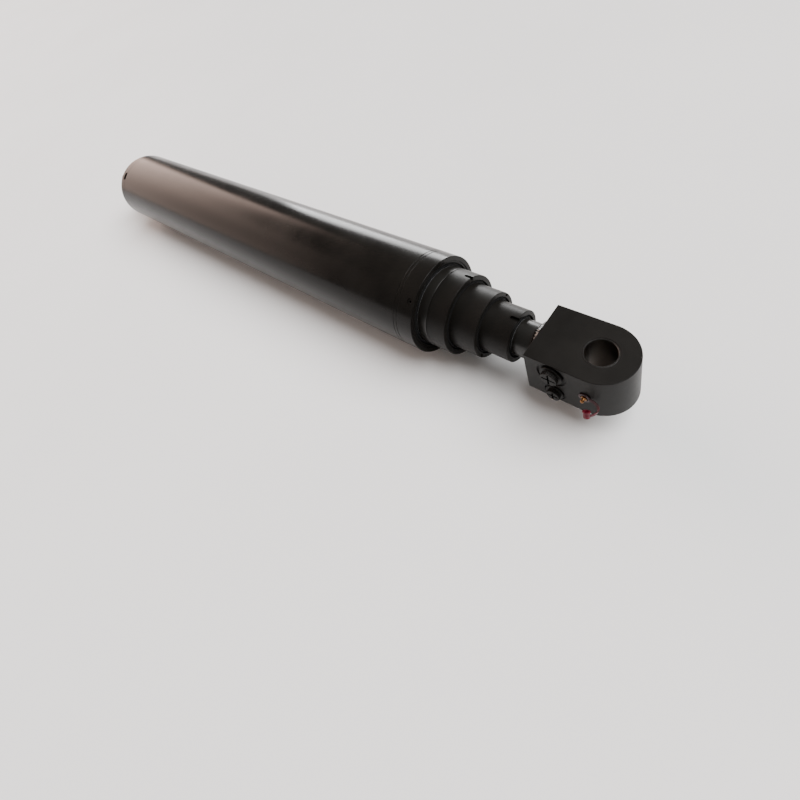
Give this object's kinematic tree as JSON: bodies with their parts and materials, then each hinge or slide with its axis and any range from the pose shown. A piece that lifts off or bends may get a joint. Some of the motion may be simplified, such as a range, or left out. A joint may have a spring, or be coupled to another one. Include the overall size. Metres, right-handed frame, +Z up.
{
  "type": "telescopic hydraulic cylinder",
  "caption": "Double-acting telescopic hydraulic cylinder with nested chromed sleeves, a pin eye at each end and both oil ports on the rod eye block.",
  "frame": {"origin": "centre of the rear pin bore", "axes": "+X along the cylinder from the base eye to the rod eye, +Z up along both pin bores, ports face -Y"},
  "size_m": [1.777, 0.2032, 0.2032],
  "materials": {
    "gloss_paint": "gloss",
    "satin_paint": "satin",
    "chrome": "polished",
    "steel": "machined",
    "bronze": "bored",
    "brass": "satin",
    "red_plastic": "moulded",
    "rubber": "matte",
    "urethane": "moulded",
    "phenolic": "woven"
  },
  "bodies": {
    "barrel": {"rear_eye": "satin_paint", "rear_bush": "bronze", "rear_grease_nipple": "brass", "rear_nipple_cap": "red_plastic", "base_cap": "gloss_paint", "barrel_tube": "gloss_paint", "barrel_collar": "gloss_paint", "barrel_gland": "satin_paint", "barrel_guide_ring": "phenolic", "barrel_rod_seal": "urethane", "barrel_wiper": "rubber", "barrel_gland_oring": "rubber", "lock_screw": "steel"},
    "stage_1": {"stage_1_tube": "chrome", "stage_1_head": "satin_paint", "stage_1_guide_ring": "phenolic", "stage_1_rod_seal": "urethane", "stage_1_wiper": "rubber", "stage_1_piston": "steel", "stage_1_piston_guide_ring": "phenolic", "stage_1_piston_seal": "urethane"},
    "stage_2": {"stage_2_tube": "chrome", "stage_2_head": "satin_paint", "stage_2_guide_ring": "phenolic", "stage_2_rod_seal": "urethane", "stage_2_wiper": "rubber", "stage_2_piston": "steel", "stage_2_piston_guide_ring": "phenolic", "stage_2_piston_seal": "urethane"},
    "stage_3": {"stage_3_tube": "chrome", "stage_3_head": "satin_paint", "stage_3_guide_ring": "phenolic", "stage_3_rod_seal": "urethane", "stage_3_wiper": "rubber", "stage_3_piston": "steel", "stage_3_piston_guide_ring": "phenolic", "stage_3_piston_seal": "urethane"},
    "plunger_rings": {"plunger_piston_guide_ring": "phenolic", "plunger_piston_seal": "urethane"},
    "plunger": {"plunger_tube": "chrome", "plunger_piston": "steel", "transfer_tube": "steel", "eye_block": "satin_paint", "eye_bush": "bronze", "eye_grease_nipple": "brass", "eye_nipple_cap": "red_plastic", "port_large_plug": "satin_paint", "port_large_seal": "rubber", "port_small_plug": "satin_paint", "port_small_seal": "rubber"}
  },
  "joints": [
    {"name": "stage_1_slide", "type": "slide", "parent": "barrel", "child": "stage_1", "axis": [1, 0, 0], "range_m": [0, 1.051]},
    {"name": "stage_2_slide", "type": "slide", "parent": "stage_1", "child": "stage_2", "axis": [1, 0, 0], "range_m": [0, 1.082]},
    {"name": "stage_3_slide", "type": "slide", "parent": "stage_2", "child": "stage_3", "axis": [1, 0, 0], "range_m": [0, 1.121]},
    {"name": "plunger_slide", "type": "slide", "parent": "stage_3", "child": "plunger_rings", "axis": [1, 0, 0], "range_m": [0, 1.177]},
    {"name": "rod_eye_turn", "type": "hinge", "parent": "plunger_rings", "child": "plunger", "pos_m": [1.673, 0, 0], "axis": [1, 0, 0], "continuous": true}
  ]
}
